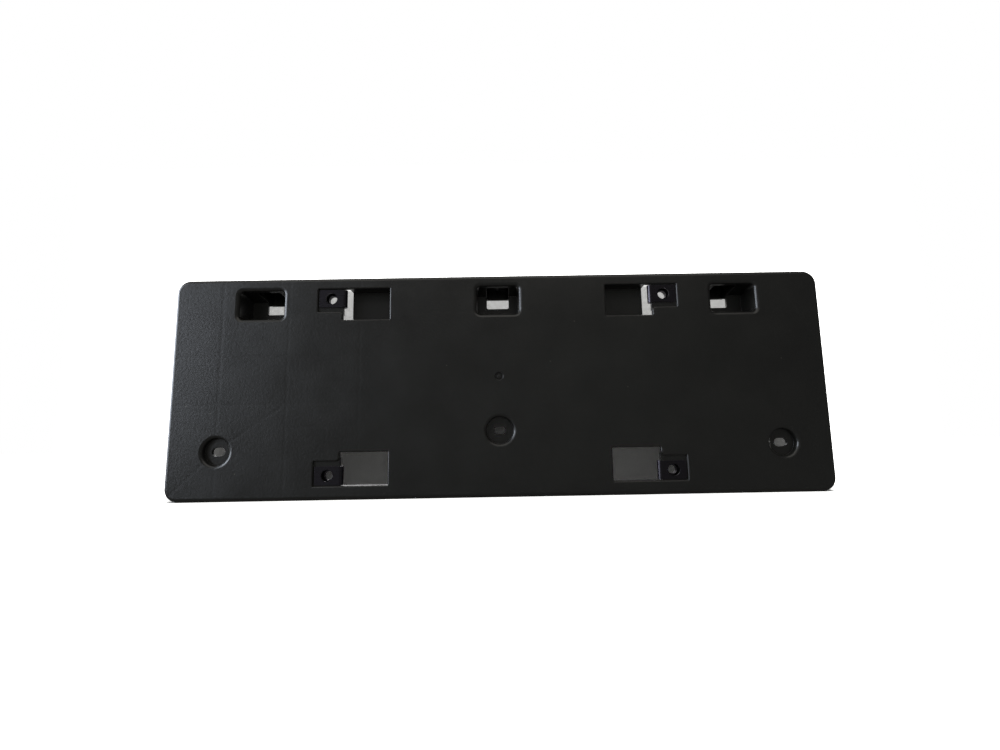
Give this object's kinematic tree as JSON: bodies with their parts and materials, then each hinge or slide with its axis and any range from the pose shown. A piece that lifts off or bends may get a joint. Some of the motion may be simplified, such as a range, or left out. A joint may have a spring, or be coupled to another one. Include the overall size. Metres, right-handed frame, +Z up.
{
  "type": "number plate holder",
  "caption": "Moulded front number plate holder with a ribbed back, hooks and slotted screw pockets for the bumper, and spring steel clip nuts for the plate's screws.",
  "frame": {"origin": "middle of the four plate screws, on the front face where the plate lies", "axes": "+X to the right seen from the front, +Y back into the bumper, +Z up as mounted on the car"},
  "size_m": [0.406, 0.0297, 0.138],
  "materials": {
    "moulded_plastic": "black, fine moulded grain",
    "spring_steel": "black phosphate with bare sheared edges"
  },
  "bodies": {
    "root": {"holder_body": "moulded_plastic", "clip_nut_upper_left": "spring_steel", "clip_nut_upper_right": "spring_steel", "clip_nut_lower_left": "spring_steel", "clip_nut_lower_right": "spring_steel"}
  },
  "joints": []
}
